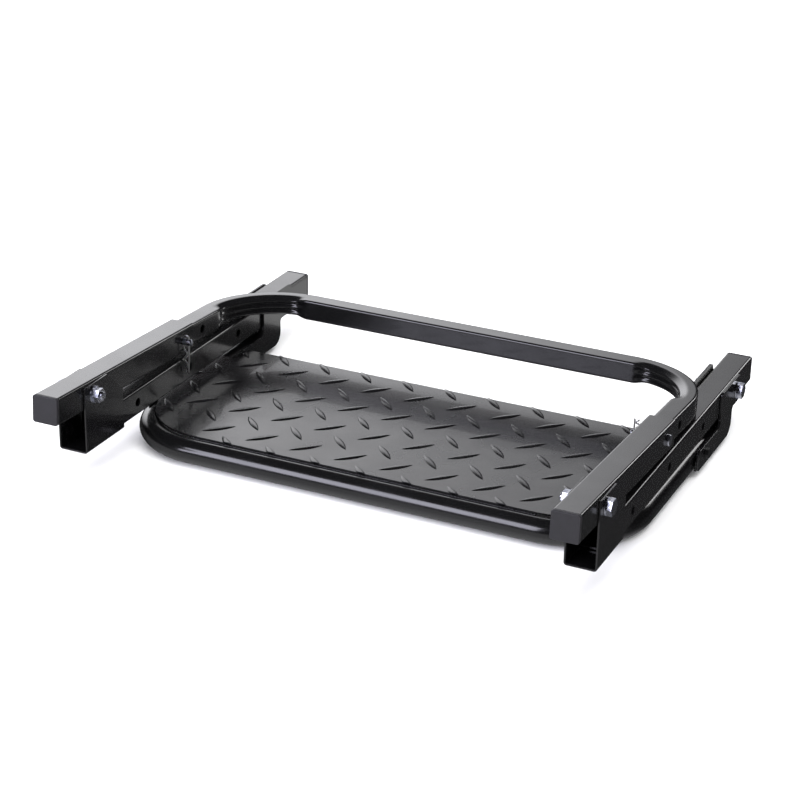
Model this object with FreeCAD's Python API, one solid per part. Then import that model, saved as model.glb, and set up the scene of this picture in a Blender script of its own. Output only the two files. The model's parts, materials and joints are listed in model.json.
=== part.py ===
"""Fold-flat tyre step: a hook that goes over a truck's tyre, two risers and a tread plate platform.

The step is folded into three layers.  From the floor up they are the platform, the two risers,
and the two arms with their hook bar.  X runs across the step, Y from the arm ends (front) to the
riser ends (rear) and Z up.  The origin is on the floor, under the middle of the folded step.
"""
import FreeCAD, Part
import math
import os

V = FreeCAD.Vector
X_AXIS = V(1, 0, 0)
Y_AXIS = V(0, 1, 0)
Z_AXIS = V(0, 0, 1)

# ---- driving dimensions, millimetres and degrees ----
# square tube of the arms and risers
arm_side = 31.75
arm_wall = 2.0
arm_corner = 3.0
side_spacing = 603.25          # centre to centre of the left and right arms, and of the risers

# square tube of the hook bar, which telescopes in the arms
bar_side = 25.4
bar_wall = 1.6
bar_corner = 2.5
bar_bend = 92.0                # radius of its two bends, on the centre line
bar_reach = 389.5              # arm pivot to the centre line of the rear run
bar_leg_start = 62.0           # arm pivot to the leg's hidden end inside the arm
bar_hole_pitch = 50.0
bar_hole_count = 4
pin_hole_index = 2             # the hole, counted from the hidden end, that the lock pin is in

# arms
arm_stub = 70.0                # pivot to the front face of the end cap
arm_tail = 223.0               # pivot to the open rear end

# risers
riser_length = 500.0           # over the end cap
riser_from_pivot = 22.0        # arm pivot to the riser's front end
hole_pitch = 119.0             # the height holes
hole_count = 4
hole_margin = 72.0             # riser's front end to the first hole

# platform
tube_od = 28.6
tube_wall = 1.6
tube_bend = 88.0
platform_reach = 366.0         # platform pivot to the front tube's centre line
plate_reach = 104.1            # platform pivot to the plate's rear edge
plate_thick = 2.0
plate_setback = 6.7            # front tube's centre line to the plate's front edge
plate_lip = 15.0               # the turned-down rear edge
plate_corner = 92.0            # its front corners, which leave a slit inside the tube's bends
tread_length = 40.6
tread_width = 8.5
tread_height = 1.3
tread_pitch_x = 56.25
tread_pitch_y = 61.0
tread_first = 42.0             # plate's rear edge to the first row's centres
tread_shift = 0.532            # first column's place across the step, as a share of the pitch
tread_sunk = 0.5               # how far a bar's base sits in the sheet

# spaces between the folded layers
riser_lift = 12.0              # platform tube to riser
arm_lift = 16.0                # riser to arm, at the arm pivot
rest_gap = 0.5                 # hook bar to riser, where it comes to rest
bar_rest_reach = 366.0         # arm pivot to the place where the hook bar rests on the risers

# hinge channels at the arm pivots
channel_sheet = 2.0
channel_corner = 3.6
channel_front = 18.0           # pivot to the front edge
channel_rear = 60.0            # pivot to the rear edge
channel_below = 1.25           # riser's underside to the inside of the web
channel_top_gap = 3.0          # arm's top down to the wall's top
channel_chamfer_y = 31.0
channel_chamfer_z = 28.0
channel_round = 3.0            # corners of the chamfer
channel_tip_round = 1.5

# hinge plates at the platform pivots
bracket_sheet = 3.0
bracket_tab_front = 58.0       # pivot to the tab's front edge
bracket_tab_rear = 17.0
bracket_outer_rise = 1.0       # above the riser's top
bracket_inner_rise = 7.0
bracket_leg_front = 138.0      # pivot to the front end of the lower leg
bracket_leg_rear = 13.5        # pivot to the rear edge of the lower leg, in front of the pivot
bracket_leg_top = 24.5         # pivot down to the lower leg's upper edge
bracket_leg_height = 25.0
bracket_heel = 16.0            # radius of the heel
bracket_round = 5.0
bracket_tab_below = 1.0        # the tab, below the riser
stop_thick = 3.0               # cross plate that the risers meet when the platform is open
stop_gap = 0.4

# fasteners
bolt_d = 10.0                  # M10 pivot bolts
bolt_across_flats = 17.0
bolt_head = 6.4
nut_across_flats = 15.0
nut_height = 10.0
nut_flange_d = 20.5
nut_flange = 2.0
washer_od = 20.0
washer_thick = 1.6
bolt_end = 3.0                 # thread that shows past the nut
bolt_point = 1.0               # chamfer at the thread's end
head_crown = 1.2               # how far the head's corners are turned away
sleeve_wall = 2.0
screw_d = 6.0                  # M6 screws that clamp the hinge plates to the tube
screw_across_flats = 10.0
screw_head = 4.2
screw_end = 6.0                # past the inner hinge plate
screw_nut = 5.0
screw_from_leg_front = 27.0
screw_above_axis = 7.0
pin_d = 8.0
pin_head_d = 13.0
pin_head = 3.0
pin_end = 11.0                 # past the arm's inner face
pin_point = 1.2                # chamfer at its end
clip_wire = 2.4
clip_from_arm = 5.5            # arm's inner face to the clip's plane
clip_tip = 19.0                # pin centre to the clip's tips
clip_eye = 26.0                # pin centre to the centre of the clip's eye
clip_eye_r = 4.6
clip_flare = 8.4               # the wavy leg's tip, from the straight leg
clip_neck = 3.15               # from leg to leg at the neck, between the eye and the pin
clip_neck_z = 9.0              # pin centre down to the neck
clip_neck_bend = 4.0
clip_eye_bend = 4.5
clip_leg_bend = 3.2
clip_waist_bends = (3.0, 6.0)

# clearances
slide_gap = 0.325              # arm and riser to the sheet on either side
hinge_gap = 0.08               # radial, pivot bolt in its running hole
pin_gap = 0.1                  # radial, lock pin in its holes
wire_gap = 0.35                # radial, clip in the pin's cross hole
seat_gap = 0.05                # radial, fasteners in the sheets that they clamp
weld_gap = 0.3                 # between parts that a weld joins
past = 1.0                     # how far a cutting shape reaches past what it cuts

# end caps
cap_face = 4.5
cap_round = 1.2
cap_plug = 18.0
cap_plug_gap = 0.05

# ---- places that follow ----
half_side = arm_side / 2
half_bar = bar_side / 2
half_spacing = side_spacing / 2
bolt_r = bolt_d / 2
pin_r = pin_d / 2
hinge_r = bolt_r + hinge_gap
pin_hole_r = pin_r + pin_gap

tube_z = tube_od / 2
plate_top = tube_od + weld_gap + plate_thick
riser_bottom = tube_od + riser_lift
riser_z = riser_bottom + half_side
riser_top = riser_bottom + arm_side
arm_z = riser_top + arm_lift + half_side

# the folded arms tilt down to the rear until the hook bar rests on the risers
rest_drop = arm_lift + half_side - half_bar - rest_gap
fold_tilt = math.degrees(math.atan2(rest_drop, bar_rest_reach))
tilt = math.radians(fold_tilt)

# the front face's lower corner is the foremost point, and the riser's cap the rearmost
front_extent = (arm_stub - cap_round) * math.cos(tilt) + (half_side - cap_round) * math.sin(tilt) + cap_round
rear_extent = riser_from_pivot + riser_length
arm_y = (front_extent - rear_extent) / 2
riser_front = arm_y + riser_from_pivot
riser_rear = riser_front + riser_length
hole_y = [riser_front + hole_margin + i * hole_pitch for i in range(hole_count)]
platform_y = hole_y[-1]
tube_front = platform_y - platform_reach
plate_rear = platform_y - plate_reach

channel_inner = half_side + slide_gap
channel_outer = channel_inner + channel_sheet
bracket_inner = max(half_side + slide_gap, tube_od / 2 + weld_gap)
bracket_outer = bracket_inner + bracket_sheet
channel_bottom = riser_bottom - channel_below - channel_sheet
channel_top = arm_z + half_side - channel_top_gap
stop_y = platform_y - half_side - stop_gap
leg_top = riser_z - bracket_leg_top
leg_bottom = leg_top - bracket_leg_height
tab_bottom = riser_bottom - bracket_tab_below
tube_end = stop_y - stop_thick - weld_gap

SIDES = {"left": -1, "right": 1}


# ---- shape helpers ----
def box(x0, x1, y0, y1, z0, z1):
    return Part.makeBox(x1 - x0, y1 - y0, z1 - z0, V(x0, y0, z0))


def rod(radius, x0, x1, y, z):
    """A round bar along X."""
    return Part.makeCylinder(radius, x1 - x0, V(x0, y, z), X_AXIS)


def end_edges(shape, x):
    """The edges that lie in the plane at x."""
    return [edge for edge in shape.Edges if abs(edge.CenterOfMass.x - x) < 1e-6]


def hexagon(across_flats, x0, x1, y, z):
    """A hexagonal bar along X."""
    corner = across_flats / math.sqrt(3)
    points = [V(x0, y + corner * math.cos(math.radians(60 * i)), z + corner * math.sin(math.radians(60 * i)))
              for i in range(7)]
    return Part.Face(Part.makePolygon(points)).extrude(V(x1 - x0, 0, 0))


def rounded_edges(points, radii, closed):
    """Straight runs between the points, joined by tangent arcs of the given radii."""
    count = len(points)
    starts, ends, arcs = list(points), list(points), [None] * count
    for i in range(count):
        if not closed and i in (0, count - 1):
            continue
        if radii[i] <= 0:
            continue
        here = points[i]
        back = (points[i - 1] - here).normalize()
        ahead = (points[(i + 1) % count] - here).normalize()
        half = back.getAngle(ahead) / 2
        run = radii[i] / math.tan(half)
        middle = here + (back + ahead).normalize() * (radii[i] / math.sin(half) - radii[i])
        starts[i] = here + back * run
        ends[i] = here + ahead * run
        arcs[i] = Part.Arc(starts[i], middle, ends[i]).toShape()
    edges = []
    for i in range(count):
        if arcs[i]:
            edges.append(arcs[i])
        if i == count - 1 and not closed:
            break
        following = starts[(i + 1) % count]
        if (following - ends[i]).Length > 1e-6:
            edges.append(Part.makeLine(ends[i], following))
    return edges


def outline(points, radii):
    return Part.Wire(rounded_edges(points, radii, True))


def plate_yz(points, radii, x0, x1):
    """A flat plate that lies across X, from (y, z) corners."""
    wire = outline([V(x0, y, z) for y, z in points], radii)
    return Part.Face(wire).extrude(V(x1 - x0, 0, 0))


def square_wire(centre, side, corner):
    """A rounded square across Y."""
    h = side / 2
    points = [centre + V(sx * h, 0, sz * h) for sx, sz in ((-1, -1), (1, -1), (1, 1), (-1, 1))]
    return outline(points, [corner] * 4)


def square_bar(side, corner, x, z, y0, y1):
    return Part.Face(square_wire(V(x, y0, z), side, corner)).extrude(V(0, y1 - y0, 0))


def square_tube(side, wall, corner, x, z, y0, y1):
    inner = square_bar(side - 2 * wall, corner - wall, x, z, y0 - past, y1 + past)
    return square_bar(side, corner, x, z, y0, y1).cut(inner)


def sweep(profile, points, radii):
    path = Part.Wire(Part.__sortEdges__(rounded_edges(points, radii, False)))
    return path.makePipeShell([profile], True, False)


def tilted(shape):
    """Turns a shape about the arm pivot, from level to the folded rest."""
    shape = shape.copy()
    shape.rotate(V(0, arm_y, arm_z), X_AXIS, -fold_tilt)
    return shape


def mirrored(shape, side):
    """Shapes are drawn for the right side, with +X outwards."""
    if side > 0:
        return shape.copy()
    return shape.mirror(V(0, 0, 0), X_AXIS)


# ---- arms, hook bar and lock pins, drawn level ----
def arm():
    tube = square_tube(arm_side, arm_wall, arm_corner, half_spacing, arm_z,
                       arm_y - arm_stub + cap_face, arm_y + arm_tail)
    holes = [rod(bolt_r + hinge_gap + sleeve_wall + seat_gap, half_spacing - arm_side, half_spacing + arm_side,
                 arm_y, arm_z),
             rod(pin_hole_r, half_spacing - arm_side, half_spacing + arm_side, pin_y, arm_z)]
    return tube.cut(holes)


def end_cap(x, z, y_face, inward):
    """A moulded square cap: a face as large as the tube, and a plug that grips inside it."""
    y_back = y_face + inward * cap_face
    y_plug = y_back + inward * cap_plug
    face = square_bar(arm_side, arm_corner, x, z, min(y_face, y_back), max(y_face, y_back))
    front_edges = [e for e in face.Edges if abs(e.CenterOfMass.y - y_face) < 1e-6]
    face = face.makeFillet(cap_round, front_edges)
    side = arm_side - 2 * arm_wall - 2 * cap_plug_gap
    plug = square_bar(side, arm_corner - arm_wall, x, z, min(y_back, y_plug), max(y_back, y_plug))
    y_open = y_plug + inward * past
    hollow = square_bar(side - 2 * arm_wall, 0, x, z, min(y_back, y_open), max(y_back, y_open))
    return face.fuse(plug.cut(hollow)).removeSplitter()


def pivot_sleeve():
    outer = rod(hinge_r + sleeve_wall, half_spacing - half_side, half_spacing + half_side, arm_y, arm_z)
    bore = rod(hinge_r, half_spacing - arm_side, half_spacing + arm_side, arm_y, arm_z)
    return outer.cut(bore)


def hook_bar():
    y0 = arm_y + bar_leg_start
    y1 = arm_y + bar_reach
    x = half_spacing
    points = [V(-x, y0, arm_z), V(-x, y1, arm_z), V(x, y1, arm_z), V(x, y0, arm_z)]
    radii = [0, bar_bend, bar_bend, 0]
    start = points[0]
    outer = sweep(square_wire(start, bar_side, bar_corner), points, radii)
    inner = sweep(square_wire(start, bar_side - 2 * bar_wall, bar_corner - bar_wall), points, radii)
    bar = outer.cut(inner)
    holes = [rod(pin_hole_r, s * x - bar_side, s * x + bar_side, y, arm_z) for s in (-1, 1) for y in bar_hole_y]
    return bar.cut(holes)


def lock_pin():
    inner_face = half_spacing - half_side
    outer_face = half_spacing + half_side
    head = rod(pin_head_d / 2, outer_face + weld_gap, outer_face + weld_gap + pin_head, pin_y, arm_z)
    head = head.makeFillet(pin_head / 2, [e for e in head.Edges if e.CenterOfMass.x > outer_face + pin_head])
    shank = rod(pin_r, inner_face - pin_end, outer_face + weld_gap + pin_head / 2, pin_y, arm_z)
    shank = shank.makeChamfer(pin_point, end_edges(shank, inner_face - pin_end))
    cross = Part.makeCylinder(clip_wire / 2 + wire_gap, pin_d * 2, V(clip_x, pin_y, arm_z - pin_d), Z_AXIS)
    return head.fuse(shank).cut(cross).removeSplitter()


def r_clip():
    """A hairpin clip: a straight leg through the pin, an eye below, and a wavy leg round the pin's side."""
    beside = pin_r + clip_wire / 2 + wire_gap
    wide = 2 * clip_eye_r
    legs = [(clip_tip, 0), (-clip_eye - clip_eye_r, 0), (-clip_eye - clip_eye_r, wide), (-clip_eye + clip_eye_r, wide),
            (-clip_neck_z, clip_neck), (-pin_r, beside), (pin_r, beside), (clip_tip, clip_flare)]
    bends = [0, clip_eye_bend, clip_eye_bend, clip_leg_bend, clip_neck_bend, *clip_waist_bends, 0]
    points = [V(clip_x, pin_y + across, arm_z + along) for along, across in legs]
    wire = Part.Wire(Part.makeCircle(clip_wire / 2, points[0], Z_AXIS))
    return sweep(wire, points, bends)


# ---- risers and their hinge channels ----
def riser():
    tube = square_tube(arm_side, arm_wall, arm_corner, half_spacing, riser_z, riser_front, riser_rear - cap_face)
    holes = [rod(hinge_r, half_spacing - arm_side, half_spacing + arm_side, y, riser_z) for y in hole_y]
    return tube.cut(holes)


def hinge_channel():
    """A folded sheet: two walls beside the arm and the riser, and a web below the riser."""
    y0 = arm_y - channel_front
    y1 = arm_y + channel_rear
    top = channel_top + past
    web = channel_bottom + channel_sheet
    outer = [(-channel_outer, top), (-channel_outer, channel_bottom), (channel_outer, channel_bottom),
             (channel_outer, top)]
    inner = [(-channel_inner, top + past), (-channel_inner, web), (channel_inner, web), (channel_inner, top + past)]

    def block(corners, radius, ya, yb):
        points = [V(half_spacing + x, ya, z) for x, z in corners]
        return Part.Face(outline(points, [0, radius, radius, 0])).extrude(V(0, yb - ya, 0))

    sheet = block(outer, channel_corner, y0, y1)
    sheet = sheet.cut(block(inner, channel_corner - channel_sheet, y0 - past, y1 + past))
    low = channel_bottom - past
    wide = channel_outer + past
    side = plate_yz([(y0, low), (y1, low), (y1, channel_top - channel_chamfer_z),
                     (y1 - channel_chamfer_y, channel_top), (y0, channel_top)],
                    [0, 0, channel_round, channel_round, channel_tip_round],
                    half_spacing - wide, half_spacing + wide)
    hole = rod(bolt_r + seat_gap, half_spacing - arm_side, half_spacing + arm_side, arm_y, arm_z)
    return sheet.common(side).cut(hole)


# ---- platform ----
def platform_frame():
    x = half_spacing
    points = [V(-x, tube_end, tube_z), V(-x, tube_front, tube_z), V(x, tube_front, tube_z), V(x, tube_end, tube_z)]
    radii = [0, tube_bend, tube_bend, 0]
    outer = sweep(Part.Wire(Part.makeCircle(tube_od / 2, points[0], Y_AXIS)), points, radii)
    inner = sweep(Part.Wire(Part.makeCircle(tube_od / 2 - tube_wall, points[0], Y_AXIS)), points, radii)
    holes = [rod(screw_d / 2 + seat_gap, s * x - tube_od, s * x + tube_od, screw_y, screw_z) for s in (-1, 1)]
    return outer.cut(inner).cut(holes)


def tread_bar(x, y, turn):
    """One raised bar of the tread, pointed at both ends."""
    half_length = tread_length / 2
    half_width = tread_width / 2
    base = plate_top - tread_sunk
    tip_a, tip_b = V(-half_length, 0, base), V(half_length, 0, base)
    edges = [Part.Arc(tip_a, V(0, half_width, base), tip_b).toShape(),
             Part.Arc(tip_b, V(0, -half_width, base), tip_a).toShape()]
    bar = Part.Face(Part.Wire(edges)).extrude(V(0, 0, plate_top + tread_height - base))
    bar.rotate(V(0, 0, 0), Z_AXIS, turn)
    bar.translate(V(x, y, 0))
    return bar


def tread_places():
    """Two sets of bars at right angles, each in rows, with one set in the gaps of the other."""
    places = []
    rows = int((plate_rear - tube_front) / (tread_pitch_y / 2)) + 2
    columns = int(half_spacing / tread_pitch_x) + 1
    for row in range(-1, rows):
        odd = row % 2
        y = plate_rear - tread_first - row * tread_pitch_y / 2
        for column in range(-columns, columns + 1):
            x = (column + tread_shift + odd / 2) * tread_pitch_x
            places.append((x, y, -45 if odd else 45))
    return places


def tread_plate():
    """The sheet lies on the tube, as far out as the side tubes' crowns."""
    x = half_spacing
    y0 = tube_front + plate_setback
    notch_x = half_spacing - bracket_outer - screw_end - weld_gap
    notch_y = platform_y - bracket_leg_front - weld_gap
    corners = [(-x, y0), (x, y0), (x, notch_y), (notch_x, notch_y), (notch_x, plate_rear), (-notch_x, plate_rear),
               (-notch_x, notch_y), (-x, notch_y)]
    bends = [plate_corner, plate_corner, 0, 0, 0, 0, 0, 0]
    z = plate_top - plate_thick
    wire = outline([V(px, py, z) for px, py in corners], bends)
    sheet = Part.Face(wire).extrude(V(0, 0, plate_thick))
    room = Part.Face(wire).extrude(V(0, 0, plate_thick + 2 * tread_height))
    bars = Part.makeCompound([tread_bar(*place) for place in tread_places()])
    bars = room.common(bars)
    lip = box(-notch_x, notch_x, plate_rear - plate_thick, plate_rear, plate_top - plate_lip, plate_top)
    return sheet.fuse([lip] + bars.Solids).removeSplitter()


def bracket(outer_side):
    """A hinge plate: a tab beside the riser's pivot, and a leg along the platform tube."""
    rise = bracket_outer_rise if outer_side else bracket_inner_rise
    top = riser_top + rise
    points = [(platform_y - bracket_tab_front, top), (platform_y + bracket_tab_rear, top),
              (platform_y + bracket_tab_rear, tab_bottom), (platform_y - bracket_leg_rear, tab_bottom),
              (platform_y - bracket_leg_rear, leg_bottom), (platform_y - bracket_leg_front, leg_bottom),
              (platform_y - bracket_leg_front, leg_top), (platform_y - bracket_tab_front, leg_top)]
    small = bracket_round
    radii = [small, 2 * small, 2 * small, small, bracket_heel, small, small, 2 * small]
    if outer_side:
        x0, x1 = half_spacing + bracket_inner, half_spacing + bracket_outer
    else:
        x0, x1 = half_spacing - bracket_outer, half_spacing - bracket_inner
    plate = plate_yz(points, radii, x0, x1)
    holes = [rod(bolt_r + seat_gap, x0 - past, x1 + past, platform_y, riser_z),
             rod(screw_d / 2 + seat_gap, x0 - past, x1 + past, screw_y, screw_z)]
    return plate.cut(holes)


def stop_plate():
    """The cross plate behind the tube's end, which the riser meets when the platform is open."""
    return box(half_spacing - bracket_inner, half_spacing + bracket_inner, stop_y - stop_thick, stop_y,
               leg_bottom + bracket_heel, tab_bottom - bracket_round)


# ---- fasteners ----
def pivot_bolt(outer_face, inner_face, y, z):
    """A hex head bolt from the outer side, with its thread past the nut."""
    seat = outer_face + washer_thick
    head = hexagon(bolt_across_flats, seat, seat + bolt_head, y, z)
    tall = bolt_head + head_crown
    crown = Part.makeCone(bolt_across_flats / 2 + tall, bolt_across_flats / 2, tall, V(seat, y, z), X_AXIS)
    tip = inner_face - nut_height - bolt_end
    shank = rod(bolt_r, tip, seat + bolt_head / 2, y, z)
    shank = shank.makeChamfer(bolt_point, end_edges(shank, tip))
    return head.common(crown).fuse(shank).removeSplitter()


def flange_nut(inner_face, y, z):
    flange = rod(nut_flange_d / 2, inner_face - nut_flange, inner_face, y, z)
    body = hexagon(nut_across_flats, inner_face - nut_height, inner_face - nut_flange / 2, y, z)
    bore = rod(bolt_r + seat_gap, inner_face - 2 * nut_height, inner_face + past, y, z)
    return flange.fuse(body).cut(bore).removeSplitter()


def washer(outer_face, y, z):
    ring = rod(washer_od / 2, outer_face, outer_face + washer_thick, y, z)
    return ring.cut(rod(bolt_r + seat_gap, outer_face - past, outer_face + washer_thick + past, y, z))


def bracket_screw():
    x0 = half_spacing - bracket_outer
    x1 = half_spacing + bracket_outer
    head = hexagon(screw_across_flats, x1, x1 + screw_head, screw_y, screw_z)
    shank = rod(screw_d / 2, x0 - screw_end, x1 + screw_head / 2, screw_y, screw_z)
    return head.fuse(shank).removeSplitter()


def bracket_screw_nut():
    x0 = half_spacing - bracket_outer
    nut = hexagon(screw_across_flats, x0 - screw_nut, x0, screw_y, screw_z)
    return nut.cut(rod(screw_d / 2 + seat_gap, x0 - 2 * screw_nut, x0 + past, screw_y, screw_z))


# ---- places along the arms, and the part itself ----
bar_hole_y = [arm_y + 2 * bar_hole_pitch + i * bar_hole_pitch for i in range(bar_hole_count)]
pin_y = bar_hole_y[pin_hole_index]
clip_x = half_spacing - half_side - clip_from_arm
screw_y = platform_y - bracket_leg_front + screw_from_leg_front
screw_z = tube_z + screw_above_axis


def build():
    nodes = {}
    for name, side in SIDES.items():
        nodes["arm_" + name] = tilted(mirrored(arm(), side))
        nodes["arm_cap_" + name] = tilted(mirrored(end_cap(half_spacing, arm_z, arm_y - arm_stub, 1), side))
        nodes["pivot_sleeve_" + name] = tilted(mirrored(pivot_sleeve(), side))
        nodes["lock_pin_" + name] = tilted(mirrored(lock_pin(), side))
        nodes["r_clip_" + name] = tilted(mirrored(r_clip(), side))
        nodes["riser_" + name] = mirrored(riser(), side)
        nodes["riser_cap_" + name] = mirrored(end_cap(half_spacing, riser_z, riser_rear, -1), side)
        nodes["hinge_channel_" + name] = mirrored(hinge_channel(), side)
        nodes["bracket_outer_" + name] = mirrored(bracket(True), side)
        nodes["bracket_inner_" + name] = mirrored(bracket(False), side)
        nodes["stop_plate_" + name] = mirrored(stop_plate(), side)
        channel_faces = (half_spacing + channel_outer, half_spacing - channel_outer)
        bracket_faces = (half_spacing + bracket_outer, half_spacing - bracket_outer)
        nodes["arm_bolt_" + name] = mirrored(pivot_bolt(*channel_faces, arm_y, arm_z), side)
        nodes["arm_nut_" + name] = mirrored(flange_nut(channel_faces[1], arm_y, arm_z), side)
        nodes["platform_bolt_" + name] = mirrored(pivot_bolt(*bracket_faces, platform_y, riser_z), side)
        nodes["platform_nut_" + name] = mirrored(flange_nut(bracket_faces[1], platform_y, riser_z), side)
    nodes["hook_bar"] = tilted(hook_bar())
    nodes["platform_frame"] = platform_frame()
    nodes["tread_plate"] = tread_plate()
    both = SIDES.values()
    nodes["arm_washers"] = Part.makeCompound(
        [mirrored(washer(half_spacing + channel_outer, arm_y, arm_z), s) for s in both])
    nodes["platform_washers"] = Part.makeCompound(
        [mirrored(washer(half_spacing + bracket_outer, platform_y, riser_z), s) for s in both])
    nodes["bracket_screws"] = Part.makeCompound([mirrored(bracket_screw(), s) for s in both])
    nodes["bracket_screw_nuts"] = Part.makeCompound([mirrored(bracket_screw_nut(), s) for s in both])
    return nodes


def main():
    os.makedirs("parts", exist_ok=True)
    for name, shape in build().items():
        shape.exportStep("parts/" + name + ".step")
        solids = len(shape.Solids)
        print(name, "solids", solids, "volume", round(shape.Volume), "valid", shape.isValid())
    print("fold tilt", round(fold_tilt, 3), "arm_y", arm_y, "platform_y", platform_y, "arm_z", arm_z)


main()
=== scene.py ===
"""Looks of the fold-flat tyre step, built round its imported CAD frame.

Lengths are millimetres in the properties and turned to metres by mm(). The pieces that the CAD
already shapes fully are copied, merged and given worked edges; the bent bars, the tread, the clips,
the welds and the threads are modelled here.
"""
import bmesh
import bpy
import json
import math
from mathutils import Matrix, Vector

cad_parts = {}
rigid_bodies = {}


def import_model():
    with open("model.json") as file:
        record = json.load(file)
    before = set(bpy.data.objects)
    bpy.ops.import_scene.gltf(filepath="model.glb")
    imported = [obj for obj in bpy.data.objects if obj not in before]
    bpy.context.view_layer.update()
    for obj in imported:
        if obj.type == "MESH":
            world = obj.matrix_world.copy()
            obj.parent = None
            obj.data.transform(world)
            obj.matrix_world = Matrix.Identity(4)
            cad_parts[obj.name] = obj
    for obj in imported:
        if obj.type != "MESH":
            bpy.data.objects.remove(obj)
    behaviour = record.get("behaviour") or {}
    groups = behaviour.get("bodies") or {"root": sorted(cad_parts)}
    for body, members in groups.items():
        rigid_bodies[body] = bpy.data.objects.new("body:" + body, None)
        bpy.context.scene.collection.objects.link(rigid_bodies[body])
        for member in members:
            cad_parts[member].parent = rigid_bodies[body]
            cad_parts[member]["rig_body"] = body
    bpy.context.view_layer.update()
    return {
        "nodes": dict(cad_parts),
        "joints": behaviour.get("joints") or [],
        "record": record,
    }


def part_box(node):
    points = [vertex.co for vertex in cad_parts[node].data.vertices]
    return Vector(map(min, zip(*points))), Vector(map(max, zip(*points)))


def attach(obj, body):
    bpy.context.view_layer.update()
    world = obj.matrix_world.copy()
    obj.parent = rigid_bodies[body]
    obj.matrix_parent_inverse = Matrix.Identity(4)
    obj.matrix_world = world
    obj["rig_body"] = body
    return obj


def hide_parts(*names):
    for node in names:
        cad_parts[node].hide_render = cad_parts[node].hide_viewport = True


bl_info = {
    "name": "Tyre step looks",
    "version": (1, 0, 0),
    "blender": (4, 5, 0),
    "location": "View3D > Sidebar > Tyre Step",
    "description": "Builds the visible pieces and materials of a fold-flat tyre step",
    "category": "Object",
}

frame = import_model()

SIDES = {"left": -1, "right": 1}


# ---- units and colours ----
def mm(length):
    """Millimetres as metres."""
    return length / 1000


def colour(code):
    """An sRGB hex value as linear red, green, blue and alpha."""
    channels = [int(code[i:i + 2], 16) / 255 for i in (1, 3, 5)]
    return tuple(c / 12.92 if c <= 0.04045 else ((c + 0.055) / 1.055) ** 2.4 for c in channels) + (1.0,)


def length_property(name, description, default):
    return bpy.props.FloatProperty(name=name, description=description, default=default, min=0.0)


def colour_property(name, description, code):
    return bpy.props.FloatVectorProperty(name=name, description=description, default=colour(code), size=4,
                                         min=0.0, max=1.0, subtype="COLOR")


# ---- places that come from the frame ----
def middle(node):
    low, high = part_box(node)
    return (low + high) / 2


JOINTS = {joint["name"]: joint for joint in frame["joints"]}
ARM_PIVOT = Vector(JOINTS["arm_fold"]["pos_m"])
HALF_SPACING = middle("riser_right").x
RISER_LOW, RISER_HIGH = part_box("riser_right")
CLIP_AXIS = Vector(JOINTS["clip_pull_right"]["axis"])
FOLD_TILT = math.atan2(-CLIP_AXIS.y, -CLIP_AXIS.z)


def tilt_matrix():
    """Turns what is drawn level about the arm pivot into the arms' folded rest."""
    there = Matrix.Translation(ARM_PIVOT)
    return there @ Matrix.Rotation(-FOLD_TILT, 4, "X") @ there.inverted()


# ---- what a user would change ----
class StepSizes(bpy.types.PropertyGroup):
    """Sizes of the modelled pieces, in millimetres."""
    edge_round: length_property("Edge round", "Round that the coating leaves on cut edges", 0.45)
    bend_radius: length_property("Hook bend", "Radius of the hook bar's bends, on the centre line", 92.0)
    bar_wall: length_property("Hook wall", "Wall of the hook bar's tube", 1.6)
    bar_corner: length_property("Hook corner", "Corner radius of the hook bar's tube", 2.5)
    bar_start: length_property("Hook start", "Arm pivot to the hidden ends of the hook bar", 62.0)
    bar_reach: length_property("Hook reach", "Arm pivot to the hook bar's rear run", 389.5)
    bar_first_hole: length_property("First hole", "Arm pivot to the first pin hole", 100.0)
    bar_hole_pitch: length_property("Hole pitch", "Pitch of the pin holes", 50.0)
    pin_hole: length_property("Pin hole", "Diameter of the pin holes, with their broken edges", 10.5)
    crush: length_property("Crush", "How far the inner wall is pressed outwards in the bends", 4.5)
    crush_groove: length_property("Crush groove", "Depth of the two grooves in the pressed wall", 1.9)
    crush_roll: length_property("Crush roll", "How far the inner edges roll down in the bends", 3.4)
    tube_bend: length_property("Platform bend", "Radius of the platform tube's bends", 88.0)
    tube_wall: length_property("Platform wall", "Wall of the platform tube", 1.6)
    plate_thick: length_property("Plate thickness", "Thickness of the tread plate", 2.0)
    plate_fold: length_property("Plate fold", "Outer radius of the tread plate's fold", 3.0)
    plate_lip: length_property("Plate lip", "Height of the tread plate's turned-down edge", 15.0)
    plate_corner: length_property("Plate corner", "Radius of the tread plate's front corners", 92.0)
    tread_length: length_property("Tread length", "Length of a raised bar", 40.6)
    tread_width: length_property("Tread width", "Width of a raised bar", 8.5)
    tread_height: length_property("Tread height", "Height of a raised bar", 1.3)
    tread_pitch_x: length_property("Tread pitch X", "Pitch of the bars across the step", 56.25)
    tread_pitch_y: length_property("Tread pitch Y", "Pitch of the bars along the step", 61.0)
    tread_first: length_property("Tread first", "Plate's rear edge to the first row", 42.0)
    tread_shift: bpy.props.FloatProperty(name="Tread shift", default=0.532, subtype="FACTOR",
                                         description="First column's place, as a share of the pitch")
    bead: length_property("Weld bead", "Width of a weld bead", 4.0)
    bead_pitch: length_property("Weld ripple", "Pitch of a weld bead's ripples", 1.7)
    clip_wire: length_property("Clip wire", "Diameter of the R-clips' wire", 2.0)
    clip_hang: length_property("Clip legs", "How far the left R-clip's legs hang below its pin", 38.0)
    thread_pitch: length_property("Thread pitch", "Pitch of the M10 thread", 1.5)


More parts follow.
